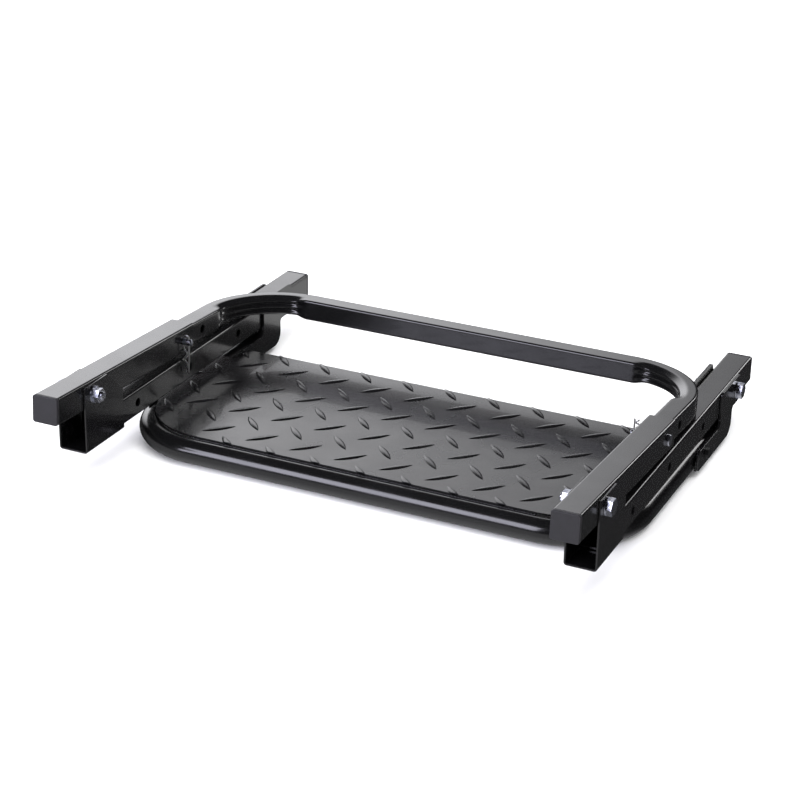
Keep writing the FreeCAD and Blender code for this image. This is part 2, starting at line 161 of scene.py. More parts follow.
class StepColours(bpy.types.PropertyGroup):
    """Colours of the finishes."""
    powder: colour_property("Powder coat", "Gloss black powder coat", "#0d0d0e")
    powder_dust: colour_property("Dust", "Thin dust in the powder coat's texture", "#151517")
    plastic: colour_property("Cap plastic", "Moulded caps", "#201f23")
    zinc: colour_property("Zinc", "Bright zinc plate", "#c2c3ca")
    zinc_shade: colour_property("Zinc shade", "Passivated patches in the zinc", "#a3a7b6")
    spring: colour_property("Spring wire", "Drawn spring wire", "#c9c9c9")
    oxide: colour_property("Black oxide", "Black oxide screws", "#1a1a1b")
    floor: colour_property("Floor", "Pale studio floor", "#f6f6f7")


def sizes():
    return bpy.context.scene.step_sizes


def colours():
    return bpy.context.scene.step_colours


# ---- materials ----
def add_node(tree, kind, settings=None, values=None, links=None):
    """Adds a node, sets its properties and inputs, and links its inputs to other nodes' outputs."""
    node = tree.nodes.new(kind)
    for name, value in (settings or {}).items():
        setattr(node, name, value)
    for name, value in (values or {}).items():
        node.inputs[name].default_value = value
    for name, output in (links or {}).items():
        tree.links.new(output, node.inputs[name])
    return node


def new_material(name):
    """An empty material with its own object coordinates and shader."""
    found = bpy.data.materials.get(name)
    if found:
        return found, None, None, None
    material = bpy.data.materials.new(name)
    material.use_nodes = True
    tree = material.node_tree
    tree.nodes.clear()
    place = add_node(tree, "ShaderNodeTexCoord").outputs["Object"]
    shader = add_node(tree, "ShaderNodeBsdfPrincipled")
    add_node(tree, "ShaderNodeOutputMaterial", links={"Surface": shader.outputs["BSDF"]})
    return material, tree, place, shader


def grain(tree, place, size_mm, detail=2.0, roughness=0.5):
    """Noise whose patches are about the given size."""
    return add_node(tree, "ShaderNodeTexNoise", values={"Scale": 1 / mm(size_mm), "Detail": detail,
                                                        "Roughness": roughness}, links={"Vector": place})


def spread(tree, value, low, high, to_low, to_high):
    """Maps one range of a value to another, and stops at its ends."""
    ranges = {"From Min": low, "From Max": high, "To Min": to_low, "To Max": to_high}
    return add_node(tree, "ShaderNodeMapRange", values=ranges, links={"Value": value}).outputs["Result"]


def two_tone(tree, factor, first, second):
    """Mixes two colours, which are sockets 6 and 7 of the node, into its socket 2."""
    mix = add_node(tree, "ShaderNodeMix", {"data_type": "RGBA"}, {6: first, 7: second}, {0: factor})
    return mix.outputs[2]


def bump(tree, shader, height, depth_mm, strength):
    """Tips the shader's normal by a height pattern."""
    made = add_node(tree, "ShaderNodeBump", values={"Distance": mm(depth_mm), "Strength": strength},
                    links={"Height": height})
    tree.links.new(made.outputs["Normal"], shader.inputs["Normal"])


def powder_coat(name="gloss powder coat", roughness=0.2, dust=0.35):
    """Black polyester powder, baked glossy: a deep black with slight orange peel and a soft sheen."""
    material, tree, place, shader = new_material(name)
    if tree is None:
        return material
    peel = grain(tree, place, size_mm=2.6, detail=1.0)
    fine = grain(tree, place, size_mm=0.9, detail=2.0)
    cloud = grain(tree, place, size_mm=55.0, detail=3.0)
    both = add_node(tree, "ShaderNodeMath", {"operation": "ADD"},
                    links={0: peel.outputs["Fac"], 1: fine.outputs["Fac"]}).outputs["Value"]
    dusty = spread(tree, cloud.outputs["Fac"], 0.45, 0.75, 0.0, dust)
    tree.links.new(two_tone(tree, dusty, tuple(colours().powder), tuple(colours().powder_dust)),
                   shader.inputs["Base Color"])
    tree.links.new(spread(tree, cloud.outputs["Fac"], 0.3, 0.7, roughness - 0.03, roughness + 0.05),
                   shader.inputs["Roughness"])
    shader.inputs["IOR"].default_value = 1.52
    shader.inputs["Coat Weight"].default_value = 0.25
    shader.inputs["Coat Roughness"].default_value = 0.06
    bump(tree, shader, both, depth_mm=0.05, strength=0.14)
    return material


def tread_coat():
    """The same powder on the tread plate, a little flatter where boots and wipes have dulled it."""
    return powder_coat("tread powder coat", roughness=0.24, dust=0.6)


def cap_plastic():
    """Polyethylene, moulded with a spark-eroded grain: matt dark grey with a fine stipple."""
    material, tree, place, shader = new_material("moulded cap polyethylene")
    if tree is None:
        return material
    stipple = grain(tree, place, size_mm=0.7, detail=3.0, roughness=0.7)
    scuff = grain(tree, place, size_mm=12.0, detail=4.0)
    base = tuple(colours().plastic)
    light = tuple(min(1.0, c * 1.35) for c in base[:3]) + (1.0,)
    tree.links.new(two_tone(tree, spread(tree, scuff.outputs["Fac"], 0.4, 0.75, 0.0, 0.7), base, light),
                   shader.inputs["Base Color"])
    tree.links.new(spread(tree, scuff.outputs["Fac"], 0.3, 0.7, 0.5, 0.66), shader.inputs["Roughness"])
    shader.inputs["IOR"].default_value = 1.51
    bump(tree, shader, stipple.outputs["Fac"], depth_mm=0.08, strength=0.5)
    return material


def zinc_plate():
    """Bright zinc electroplate with blue passivation: silvery, with cool patches and fine scratches."""
    material, tree, place, shader = new_material("bright zinc plate")
    if tree is None:
        return material
    patch = grain(tree, place, size_mm=5.0, detail=2.0)
    fine = grain(tree, place, size_mm=0.6, detail=3.0, roughness=0.6)
    passivated = spread(tree, patch.outputs["Fac"], 0.4, 0.65, 0.0, 1.0)
    tree.links.new(two_tone(tree, passivated, tuple(colours().zinc), tuple(colours().zinc_shade)),
                   shader.inputs["Base Color"])
    shader.inputs["Metallic"].default_value = 1.0
    tree.links.new(spread(tree, patch.outputs["Fac"], 0.3, 0.7, 0.2, 0.34), shader.inputs["Roughness"])
    bump(tree, shader, fine.outputs["Fac"], depth_mm=0.03, strength=0.4)
    return material


def spring_wire():
    """Drawn and plated spring wire: bright, with lines drawn along it."""
    material, tree, place, shader = new_material("drawn spring wire")
    if tree is None:
        return material
    lines = grain(tree, place, size_mm=0.5, detail=2.0)
    tree.links.new(spread(tree, lines.outputs["Fac"], 0.3, 0.7, 0.28, 0.42), shader.inputs["Roughness"])
    shader.inputs["Base Color"].default_value = tuple(colours().spring)
    shader.inputs["Metallic"].default_value = 1.0
    bump(tree, shader, lines.outputs["Fac"], depth_mm=0.02, strength=0.4)
    return material


def black_oxide():
    """Oiled black oxide on steel screws: dark satin with a faint brown cast."""
    material, tree, place, shader = new_material("black oxide steel")
    if tree is None:
        return material
    patch = grain(tree, place, size_mm=3.0, detail=3.0)
    dark = tuple(colours().oxide)
    tree.links.new(two_tone(tree, patch.outputs["Fac"], dark, tuple(c * 1.8 for c in dark[:3]) + (1.0,)),
                   shader.inputs["Base Color"])
    shader.inputs["Metallic"].default_value = 0.6
    tree.links.new(spread(tree, patch.outputs["Fac"], 0.3, 0.7, 0.32, 0.5), shader.inputs["Roughness"])
    bump(tree, shader, patch.outputs["Fac"], depth_mm=0.03, strength=0.3)
    return material


FINISHES = {"powder_coat": powder_coat, "tread_coat": tread_coat, "cap_plastic": cap_plastic,
            "zinc": zinc_plate, "spring_steel": spring_wire, "black_bolt": black_oxide}


# ---- mesh helpers ----
MERGE_MM = 0.002
FLAT_DEGREES = 0.4


def from_frame(node):
    """A node's own surface, merged, with its flat faces whole again."""
    bm = bmesh.new()
    bm.from_mesh(frame["nodes"][node].data)
    bmesh.ops.remove_doubles(bm, verts=bm.verts, dist=mm(MERGE_MM))
    bmesh.ops.dissolve_limit(bm, angle_limit=math.radians(FLAT_DEGREES), verts=bm.verts, edges=bm.edges)
    return bm


def work_edges(bm, width_mm, above=42.0, segments=2):
    """Rounds every outer edge that is sharper than the given angle."""
    edges = [e for e in bm.edges if e.is_manifold and e.is_convex
             and e.calc_face_angle(0.0) > math.radians(above)]
    bmesh.ops.bevel(bm, geom=edges, offset=mm(width_mm), offset_type="OFFSET", affect="EDGES",
                    segments=segments, profile=0.5, material=-1, clamp_overlap=True)


def even_shading(piece, sharp):
    """Smooths the piece across its small edge rounds, so its flats still look flat."""
    piece.data.shade_smooth()
    piece.data.set_sharp_from_angle(angle=math.radians(sharp))
    piece.modifiers.new("even shading", "WEIGHTED_NORMAL").keep_sharp = True


def settle(piece):
    """Turns the piece's modifiers into its mesh."""
    whole = bpy.data.meshes.new_from_object(piece.evaluated_get(bpy.context.evaluated_depsgraph_get()))
    piece.modifiers.clear()
    piece.data = whole


def add_wall(piece, wall_mm):
    """Gives an open sheet its thickness, inwards."""
    wall = piece.modifiers.new("wall", "SOLIDIFY")
    wall.thickness, wall.offset, wall.use_even_offset = mm(wall_mm), -1.0, True
    settle(piece)


def add_piece(name, bm, slot, body, nodes=(), sharp=40.0, recalculate=True, wall_mm=0.0, holes=(),
              place=None):
    """Makes the object from its mesh, says what it rides on and is finished in, and hides the nodes it stands
    for.
    """
    if recalculate:
        bmesh.ops.recalc_face_normals(bm, faces=bm.faces)
    mesh = bpy.data.meshes.new(name)
    bm.to_mesh(mesh)
    bm.free()
    mesh.materials.append(FINISHES[slot]())
    piece = bpy.data.objects.new(name, mesh)
    bpy.context.scene.collection.objects.link(piece)
    if wall_mm:
        add_wall(piece, wall_mm)
    if holes:
        drill(piece, *holes)
    if place:
        piece.data.transform(place)
    even_shading(piece, sharp)
    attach(piece, body)
    if nodes:
        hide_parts(*nodes)
    return piece


def body_of_node(node):
    return frame["nodes"][node]["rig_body"]


def slot_of_node(node):
    return {part["node"]: part["material_slot"] for part in frame["record"]["subparts"]}[node]


def add_worked(node, name, edge_mm, sharp=40.0):
    """A piece that has its node's shape, with worked edges."""
    bm = from_frame(node)
    work_edges(bm, edge_mm)
    return add_piece(name, bm, slot_of_node(node), body_of_node(node), (node,), sharp)


def square_loop(bm, side_mm, corner_mm, centre, count=96):
    """A rounded square of edges across Y."""
    half = mm(side_mm) / 2
    flat = half - mm(corner_mm)
    verts = bmesh.ops.create_circle(bm, cap_ends=False, radius=1.0, segments=count)["verts"]
    for vert in verts:
        reach = max(abs(vert.co.x), abs(vert.co.y))
        spot = Vector((vert.co.x, vert.co.y)) / reach * half
        if min(abs(spot.x), abs(spot.y)) > flat:
            hub = Vector((math.copysign(flat, spot.x), math.copysign(flat, spot.y)))
            spot = hub + (spot - hub).normalized() * mm(corner_mm)
        vert.co = centre + Vector((spot.x, 0, spot.y))
    return list({edge for vert in verts for edge in vert.link_edges})


def round_loop(bm, radius_mm, centre, count=48):
    """A circle of edges across Y."""
    upright = Matrix.Translation(centre) @ Matrix.Rotation(math.radians(90), 4, "X")
    verts = bmesh.ops.create_circle(bm, cap_ends=False, radius=mm(radius_mm), segments=count,
                                    matrix=upright)["verts"]
    return list({edge for vert in verts for edge in vert.link_edges})


def run(bm, edges, way, steps=1):
    """Extends open edges in a straight line."""
    for _ in range(steps):
        made = bmesh.ops.extrude_edge_only(bm, edges=edges)["geom"]
        bmesh.ops.translate(bm, verts=[g for g in made if isinstance(g, bmesh.types.BMVert)], vec=way / steps)
        edges = [g for g in made if isinstance(g, bmesh.types.BMEdge)]
    return edges


def turn(bm, edges, centre, degrees, steps):
    """Extends open edges round an upright axis."""
    made = bmesh.ops.spin(bm, geom=edges, cent=centre, axis=(0, 0, 1), dvec=(0, 0, 0),
                          angle=math.radians(degrees), steps=steps, use_duplicate=False)["geom_last"]
    return [g for g in made if isinstance(g, bmesh.types.BMEdge)]


EASE_STEPS = 4


def u_bar(bm, loop, start, rear, bend, ease, steps):
    """Runs a loop of edges up the left side, across the rear and down the right side.

    The straights get close rows of edges, over the ease, next to each bend.
    """
    lead = rear - bend - ease - start
    edges = run(bm, loop, Vector((0, lead, 0)))
    edges = run(bm, edges, Vector((0, ease, 0)), EASE_STEPS)
    inner_x = HALF_SPACING - bend
    edges = turn(bm, edges, Vector((-inner_x, rear - bend, 0)), -90, steps)
    edges = run(bm, edges, Vector((ease, 0, 0)), EASE_STEPS)
    edges = run(bm, edges, Vector((2 * (inner_x - ease), 0, 0)))
    edges = run(bm, edges, Vector((ease, 0, 0)), EASE_STEPS)
    edges = turn(bm, edges, Vector((inner_x, rear - bend, 0)), -90, steps)
    edges = run(bm, edges, Vector((0, -ease, 0)), EASE_STEPS)
    return run(bm, edges, Vector((0, -lead, 0)))


def smooth_step(low, high, value):
    """0 up to the low value and 1 from the high one, with a soft change between."""
    share = min(1.0, max(0.0, (value - low) / (high - low)))
    return share * share * (3 - 2 * share)


# ---- hook bar ----
# where the press starts and is full: millimetres into the bend, from the leg and from the rear run
LEG_RAMP = (-9, 13)
RUN_RAMP = (5, 27)
# across the bar, as shares of half its side
PRESSED_FROM = -0.35
GROOVED_FROM = 0.55
GROOVE_PLACE = 0.42
GROOVE_PITCH = 0.78


def press_bends(bm, rear, bend, half):
    """Presses the bends as a crush bender does.

    The inner wall goes outwards in two grooves, and its edges roll in.
    """
    s = sizes()
    inner_x = HALF_SPACING - bend
    arc = bend * math.pi / 2
    leg_ramp, run_ramp = [[mm(end) for end in ramp] for ramp in (LEG_RAMP, RUN_RAMP)]
    for vert in bm.verts:
        side = math.copysign(1, vert.co.x)
        x, y = abs(vert.co.x) - inner_x, vert.co.y - (rear - bend)
        if x > 0 and y > 0:
            outward = Vector((x, y)).normalized()
            along, across = bend * math.atan2(y, x), Vector((x, y)).length - bend
        elif y <= 0:
            outward, along, across = Vector((1, 0)), y, x - bend
        else:
            outward, along, across = Vector((0, 1)), arc - x, y - bend
        amount = smooth_step(*leg_ramp, along) * smooth_step(*run_ramp, arc - along)
        if amount == 0:
            continue
        height = vert.co.z - ARM_PIVOT.z
        inside = smooth_step(PRESSED_FROM * half, half, -across)
        groove = 0.5 + 0.5 * math.cos(2 * math.pi * (abs(height) / half - GROOVE_PLACE) / GROOVE_PITCH)
        grooved = smooth_step(GROOVED_FROM * half, half, -across)
        push = mm(s.crush) * inside + mm(s.crush_groove) * groove * grooved
        vert.co.x += side * outward.x * push * amount
        vert.co.y += outward.y * push * amount
        roll = inside * inside * amount * min(1.0, abs(height) / half)
        vert.co.z -= math.copysign(mm(s.crush_roll), height) * roll


def drill(piece, spots, diameter_mm, length_mm):
    """Cuts holes along X through a piece."""
    bm = bmesh.new()
    for spot in spots:
        place = Matrix.Translation(spot) @ Matrix.Rotation(math.radians(90), 4, "Y")
        bmesh.ops.create_cone(bm, cap_ends=True, segments=40, radius1=mm(diameter_mm) / 2,
                              radius2=mm(diameter_mm) / 2, depth=mm(length_mm), matrix=place)
    mesh = bpy.data.meshes.new("drill")
    bm.to_mesh(mesh)
    bm.free()
    tool = bpy.data.objects.new("drill", mesh)
    bpy.context.scene.collection.objects.link(tool)
    cut = piece.modifiers.new("holes", "BOOLEAN")
    cut.operation, cut.solver, cut.object = "DIFFERENCE", "EXACT", tool
    settle(piece)
    bpy.data.objects.remove(tool)


class STEP_OT_hook_bar(bpy.types.Operator):
    """Builds the hook bar, with its crushed bends and pin holes"""
    bl_idname = "step.hook_bar"
    bl_label = "Hook bar"

    def execute(self, context):
        s = sizes()
        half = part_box("hook_bar")[1].x - HALF_SPACING
        side = 2 * half * 1000
        start = ARM_PIVOT.y + mm(s.bar_start)
        rear = ARM_PIVOT.y + mm(s.bar_reach)
        bend = mm(s.bend_radius)
        corner = Vector((-HALF_SPACING, start, ARM_PIVOT.z))
        bm = bmesh.new()
        u_bar(bm, square_loop(bm, side, s.bar_corner, corner), start, rear, bend, ease=mm(12), steps=36)
        press_bends(bm, rear, bend, half)
        holes_y = [ARM_PIVOT.y + mm(s.bar_first_hole + i * s.bar_hole_pitch) for i in range(4)]
        spots = [Vector((sign * HALF_SPACING, y, ARM_PIVOT.z)) for sign in SIDES.values() for y in holes_y]
        add_piece("hook_bar_bent", bm, "powder_coat", "arms", ("hook_bar",), sharp=50, wall_mm=s.bar_wall,
                  holes=(spots, s.pin_hole, 2 * side), place=tilt_matrix())
        return {"FINISHED"}


# ---- arms and risers ----
class STEP_OT_square_tubes(bpy.types.Operator):
    """Finishes the arms and the risers, with their cut and drilled edges"""
    bl_idname = "step.square_tubes"
    bl_label = "Arms and risers"

    def execute(self, context):
        for name in SIDES:
            add_worked("arm_" + name, "arm_tube_" + name, sizes().edge_round)
            add_worked("riser_" + name, "riser_tube_" + name, sizes().edge_round)
        return {"FINISHED"}


class STEP_OT_end_caps(bpy.types.Operator):
    """Finishes the moulded end caps"""
    bl_idname = "step.end_caps"
    bl_label = "End caps"

    def execute(self, context):
        for name in SIDES:
            add_worked("arm_cap_" + name, "arm_end_cap_" + name, edge_mm=0.3)
            add_worked("riser_cap_" + name, "riser_end_cap_" + name, edge_mm=0.3)
        return {"FINISHED"}


# ---- hinge sheets ----
class STEP_OT_hinge_sheets(bpy.types.Operator):
    """Finishes the hinge channels, the hinge plates and the stop plates"""
    bl_idname = "step.hinge_sheets"
    bl_label = "Hinge sheets"

    def execute(self, context):
        for name in SIDES:
            add_worked("hinge_channel_" + name, "hinge_channel_sheet_" + name, sizes().edge_round)
            add_worked("bracket_outer_" + name, "hinge_plate_outer_" + name, sizes().edge_round)
            add_worked("bracket_inner_" + name, "hinge_plate_inner_" + name, sizes().edge_round)
            add_worked("stop_plate_" + name, "stop_sheet_" + name, sizes().edge_round)
        return {"FINISHED"}


# ---- platform ----
class STEP_OT_platform_tube(bpy.types.Operator):
    """Builds the platform's bent round tube"""
    bl_idname = "step.platform_tube"
    bl_label = "Platform tube"

    def execute(self, context):
        s = sizes()
        low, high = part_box("platform_frame")
        radius = (high.z - low.z) / 2
        bend = mm(s.tube_bend)
        bm = bmesh.new()
        corner = Vector((-HALF_SPACING, -high.y, radius + low.z))
        loop = round_loop(bm, radius * 1000, corner)
        u_bar(bm, loop, -high.y, -low.y - radius, bend, ease=mm(12), steps=32)
        bmesh.ops.scale(bm, vec=(1, -1, 1), verts=bm.verts)
        add_piece("platform_tube", bm, "powder_coat", "platform", ("platform_frame",), sharp=50,
                  wall_mm=s.tube_wall)
        return {"FINISHED"}


def plate_limits():
    """The tread plate's box, half its width between the hinges, and where that narrow part starts."""
    low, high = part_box("tread_plate")
    hinge_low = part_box("bracket_inner_right")[0]
    screws_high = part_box("bracket_screws")[1]
    return low, high, 2 * HALF_SPACING - screws_high.x, hinge_low.y


def tread_bar(x, y, turned):
    """One pointed, rounded bar, cut at the sheet's sides; None if it misses the sheet."""
    s = sizes()
    low, high, notch_x, notch_y = plate_limits()
    wide = high.x
    top = high.z - mm(s.tread_height)
    bm = bmesh.new()
    along_x = Matrix.Rotation(math.radians(90), 4, "Y")
    bmesh.ops.create_uvsphere(bm, u_segments=14, v_segments=8, radius=1.0, matrix=along_x)
    for vert in bm.verts:
        taper = math.sqrt(max(0.0, 1 - vert.co.x ** 2))
        vert.co = Vector((vert.co.x * mm(s.tread_length) / 2, vert.co.y * taper * mm(s.tread_width) / 2,
                          vert.co.z * mm(s.tread_height)))
    place = Matrix.Translation((x, y, top)) @ Matrix.Rotation(math.radians(turned), 4, "Z")
    bmesh.ops.transform(bm, matrix=place, verts=bm.verts)
    reach_y = max(v.co.y for v in bm.verts)
    side = notch_x if reach_y > notch_y else wide
    corner = mm(s.plate_corner)
    for vert in bm.verts:
        spot = Vector((abs(vert.co.x) - (wide - corner), low.y + corner - vert.co.y))
        if spot.x > 0 and spot.y > 0 and spot.length > corner:
            bm.free()
            return None
    for point, way in (((side, 0, 0), (1, 0, 0)), ((-side, 0, 0), (-1, 0, 0)), ((0, low.y, 0), (0, -1, 0))):
        beyond = [(v.co - Vector(point)).dot(Vector(way)) for v in bm.verts]
        if min(beyond) >= 0:
            bm.free()
            return None
        if max(beyond) > 0:
            bmesh.ops.bisect_plane(bm, geom=bm.verts[:] + bm.edges[:] + bm.faces[:], plane_co=point,
                                   plane_no=way, clear_outer=True)
            bmesh.ops.holes_fill(bm, edges=[e for e in bm.edges if e.is_boundary])
    return bm


def fold_down(bm, rear, top, radius):
    """Carries what lies past the fold round it and down the lip."""
    begin = rear - radius
    quarter = radius * math.pi / 2
    for vert in bm.verts:
        past = vert.co.y - begin
        above = vert.co.z - top
        if past <= 0:
            continue
        if past < quarter:
            angle = past / radius
            vert.co.y = begin + (radius + above) * math.sin(angle)
            vert.co.z = top - radius + (radius + above) * math.cos(angle)
        else:
            vert.co.y = rear + above
            vert.co.z = top - radius - (past - quarter)


class STEP_OT_tread_plate(bpy.types.Operator):
    """Builds the folded tread plate and its raised bars"""
    bl_idname = "step.tread_plate"
    bl_label = "Tread plate"

    def execute(self, context):
        s = sizes()
        low, high, notch_x, notch_y = plate_limits()
        wide, rear = high.x, high.y
        top = high.z - mm(s.tread_height)
        fold = mm(s.plate_fold)
        corners = [(-wide, low.y), (wide, low.y), (wide, notch_y), (notch_x, notch_y), (notch_x, rear - fold),
                   (-notch_x, rear - fold), (-notch_x, notch_y), (-wide, notch_y)]
        bm = bmesh.new()
        verts = [bm.verts.new((x, y, top)) for x, y in corners]
        bm.faces.new(verts)
        bmesh.ops.bevel(bm, geom=verts[:2], offset=mm(s.plate_corner), offset_type="OFFSET",
                        affect="VERTICES", segments=20, profile=0.5, material=-1, clamp_overlap=False)
        edges = [e for e in bm.edges if all(abs(v.co.y - (rear - fold)) < mm(0.01) for v in e.verts)]
        spun = bmesh.ops.spin(bm, geom=edges, cent=(0, rear - fold, top - fold), axis=(1, 0, 0),
                              dvec=(0, 0, 0), angle=math.radians(-90), steps=6, use_duplicate=False)
        folded = [g for g in spun["geom_last"] if isinstance(g, bmesh.types.BMEdge)]
        run(bm, folded, Vector((0, 0, fold - mm(s.plate_lip))))
        bmesh.ops.recalc_face_normals(bm, faces=bm.faces)
        if max(bm.faces, key=lambda f: f.calc_area()).normal.z < 0:
            bmesh.ops.reverse_faces(bm, faces=bm.faces)
        add_piece("tread_sheet", bm, "tread_coat", "platform", ("tread_plate",), recalculate=False,
                  wall_mm=s.plate_thick)

        bars = bmesh.new()
        rows = int((rear - low.y) / mm(s.tread_pitch_y / 2)) + 2
        columns = int(HALF_SPACING / mm(s.tread_pitch_x)) + 1
        for row in range(-1, rows):
            odd = row % 2
            y = rear - mm(s.tread_first + row * s.tread_pitch_y / 2)
            for column in range(-columns, columns + 1):
                x = (column + s.tread_shift + odd / 2) * mm(s.tread_pitch_x)
                bar = tread_bar(x, y, -45 if odd else 45)
                if bar is None:
                    continue
                fold_down(bar, rear, top, fold)
                mesh = bpy.data.meshes.new("bar")
                bar.to_mesh(mesh)
                bar.free()
                bars.from_mesh(mesh)
                bpy.data.meshes.remove(mesh)
        add_piece("tread_bars", bars, "tread_coat", "platform", sharp=60)
        return {"FINISHED"}


# ---- welds ----
# millimetres: the plate's stitch welds along its sides, and how far beads stop short of an edge
STITCHES = (-60, 0, 60)
STITCH_HALF = 14
RISER_SHORT = 4
CLASP_HALF = 5
# how far beads' centre lines stand off the sheets' edges
CHANNEL_OFF = 0.6
CLASP_OFF = 0.4
SIDE_OFF = 0.4
FRONT_OFF = 0.6
FRONT_DROP = 0.9
# a ripple's size swells and shrinks along the bead, and it is squashed along and down
BEAD_SWELL = 0.12
BEAD_SWELL_STEP = 2.4
RIPPLE_SHAPE = (0.8, 1, 0.85, 1)


def weld(bm, start, end):
    """A bead of overlapping ripples from start to end."""
    s = sizes()
    way = Vector(end) - Vector(start)
    count = max(2, int(way.length / mm(s.bead_pitch)))
    for i in range(count + 1):
        swell = 1 + BEAD_SWELL * math.sin(i * BEAD_SWELL_STEP)
        turned = way.to_track_quat("X", "Z").to_matrix().to_4x4()
        place = Matrix.Translation(Vector(start) + way * i / count) @ turned
        bmesh.ops.create_uvsphere(bm, u_segments=10, v_segments=6, radius=mm(s.bead) / 2 * swell,
                                  matrix=place @ Matrix.Diagonal(RIPPLE_SHAPE))


class STEP_OT_welds(bpy.types.Operator):
    """Builds the weld beads"""
    bl_idname = "step.welds"
    bl_label = "Welds"

    def execute(self, context):
        s = sizes()
        risers, platform = bmesh.new(), bmesh.new()
        plate_low, plate_high, _, _ = plate_limits()
        under = plate_high.z - mm(s.tread_height + s.plate_thick)
        plate_y = middle("tread_plate").y
        tube_z = middle("platform_frame").z
        for name, sign in SIDES.items():
            channel_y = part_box("hinge_channel_" + name)[1].y + mm(CHANNEL_OFF)
            for x in (2 * HALF_SPACING - RISER_HIGH.x, RISER_HIGH.x):
                weld(risers, (sign * x, channel_y, RISER_LOW.z + mm(RISER_SHORT)),
                     (sign * x, channel_y, RISER_HIGH.z - mm(RISER_SHORT)))
            for plate, nearer in (("bracket_outer_" + name, min), ("bracket_inner_" + name, max)):
                leg_low, leg_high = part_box(plate)
                face = sign * nearer(abs(leg_low.x), abs(leg_high.x))
                front = leg_low.y - mm(CLASP_OFF)
                weld(platform, (face, front, tube_z - mm(CLASP_HALF)), (face, front, tube_z + mm(CLASP_HALF)))
            x = sign * (plate_high.x + mm(SIDE_OFF))
            for stitch in STITCHES:
                weld(platform, (x, mm(stitch - STITCH_HALF) + plate_y, under),
                     (x, mm(stitch + STITCH_HALF) + plate_y, under))
        reach = plate_high.x - mm(s.plate_corner)
        front, low = plate_low.y - mm(FRONT_OFF), under - mm(FRONT_DROP)
        weld(platform, (-reach, front, low), (reach, front, low))
        add_piece("riser_welds", risers, "powder_coat", "risers", sharp=80)
        add_piece("platform_welds", platform, "powder_coat", "platform", sharp=80)
        return {"FINISHED"}


# ---- fasteners ----
BOLT_RADIUS = 5.0
THREAD_DEPTH = 0.75
# half a ridge's foot, as a share of the pitch
THREAD_FOOT = 0.46
STEPS_PER_TURN = 24
# the thread starts behind the bolt's tip and ends inside the nut
TIP_PLAIN = 1.2
NUT_COVER = 1.5


def thread(bm, x_from, x_to, y, z, radius_mm, pitch_mm):
    """A ridge wound along X, closed at both ends."""
    turns = abs(x_to - x_from) / mm(pitch_mm)
    crest, root, half = mm(radius_mm), mm(radius_mm - THREAD_DEPTH), mm(pitch_mm) * THREAD_FOOT
    points = [(x_from - half, z + root), (x_from, z + crest), (x_from + half, z + root)]
    verts = [bm.verts.new((px, y, pz)) for px, pz in points]
    edges = [bm.edges.new((verts[i], verts[(i + 1) % 3])) for i in range(3)]
    steps = int(turns * STEPS_PER_TURN)
    made = bmesh.ops.spin(bm, geom=edges, cent=(x_from, y, z), axis=(1, 0, 0),
                          dvec=((x_to - x_from) / steps, 0, 0), angle=turns * 2 * math.pi, steps=steps,
                          use_duplicate=False)["geom_last"]
    bm.faces.new(verts)
    bm.faces.new([g for g in made if isinstance(g, bmesh.types.BMVert)])


class STEP_OT_pivot_bolts(bpy.types.Operator):
    """Finishes the pivot bolts, nuts and washers, and winds the bolts' threads"""
    bl_idname = "step.pivot_bolts"
    bl_label = "Pivot bolts"

    def execute(self, context):
        for kind in ("arm", "platform"):
            for name, sign in SIDES.items():
                bolt = kind + "_bolt_" + name
                add_worked(bolt, kind + "_hex_bolt_" + name, edge_mm=0.25, sharp=32)
                add_worked(kind + "_nut_" + name, kind + "_flange_nut_" + name, edge_mm=0.35, sharp=32)
                low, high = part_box(bolt)
                nut_low, nut_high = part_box(kind + "_nut_" + name)
                tip = high.x if sign < 0 else low.x
                face = nut_high.x if sign < 0 else nut_low.x
                centre = middle(bolt)
                bm = bmesh.new()
                thread(bm, tip + sign * mm(TIP_PLAIN), face + sign * mm(NUT_COVER), centre.y, centre.z,
                       BOLT_RADIUS, sizes().thread_pitch)
                add_piece(kind + "_thread_" + name, bm, "zinc", body_of_node(bolt), sharp=50)
            add_worked(kind + "_washers", kind + "_plain_washers", edge_mm=0.3)
        return {"FINISHED"}


WIRE_MERGE_MM = 0.01


def wire(name, points, diameter_mm):
    """A round wire bent smoothly through points, as a mesh."""
    curve = bpy.data.curves.new(name, "CURVE")
    curve.dimensions, curve.bevel_depth, curve.bevel_resolution = "3D", mm(diameter_mm) / 2, 3
    curve.use_fill_caps = True
    spline = curve.splines.new("NURBS")
    spline.points.add(len(points) - 1)
    for spot, point in zip(spline.points, points):
        spot.co = (*point, 1.0)
    spline.order_u, spline.use_endpoint_u, spline.resolution_u = 3, True, 8
    thing = bpy.data.objects.new(name, curve)
    bpy.context.scene.collection.objects.link(thing)
    bm = bmesh.new()
    built = thing.evaluated_get(bpy.context.evaluated_depsgraph_get())
    bm.from_mesh(bpy.data.meshes.new_from_object(built))
    bpy.data.objects.remove(thing)
    bmesh.ops.remove_doubles(bm, verts=bm.verts, dist=mm(WIRE_MERGE_MM))
    return bm


# across the pin in millimetres, and along the legs as a share of their length
CLIP_SHAPE = ((2.0, 1.0), (2.0, 0.2), (2.0, -0.14), (-1.0, -0.22), (-7.0, -0.18), (-7.2, 0.12), (-4.0, 0.3),
              (0.0, 0.32), (-1.0, 0.45), (-4.5, 0.55), (-4.0, 0.64), (0.6, 0.72), (0.4, 0.82), (-3.0, 0.9),
              (-2.5, 1.0))
# the right clip points up, and stops short of its node's top
CLIP_SHORT = 2


